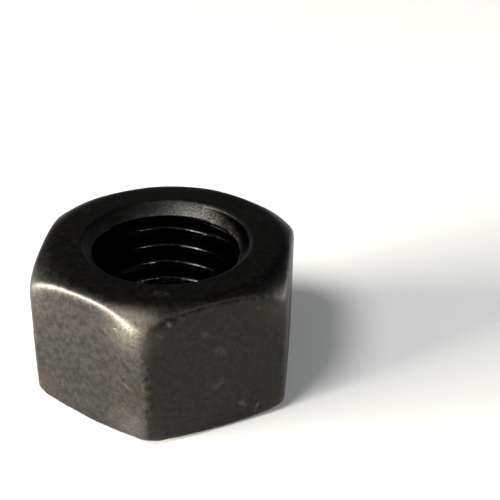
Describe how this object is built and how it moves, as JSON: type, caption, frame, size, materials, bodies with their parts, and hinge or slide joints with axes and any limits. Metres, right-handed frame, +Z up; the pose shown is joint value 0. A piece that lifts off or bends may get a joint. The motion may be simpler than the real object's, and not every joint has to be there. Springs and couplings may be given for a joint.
{
  "type": "hex nut",
  "caption": "Plain hexagonal nut with chamfered ends, a countersunk metric threaded bore, flat bearing faces and wrench flats, for clamping on a bolt or stud.",
  "frame": {"origin": "centre of the bottom bearing face, on the thread's axis", "axes": "+Z up along the thread's axis, out of the top bearing face; two corners lie on the X axis and two wrench flats face +Y and -Y"},
  "size_m": [0.0412, 0.036, 0.0215],
  "materials": {
    "blackened_steel": "hot-forged steel, blackened and oiled, worn to bare metal along its edges"
  },
  "bodies": {
    "root": {"hex_nut": "blackened_steel"}
  },
  "joints": []
}
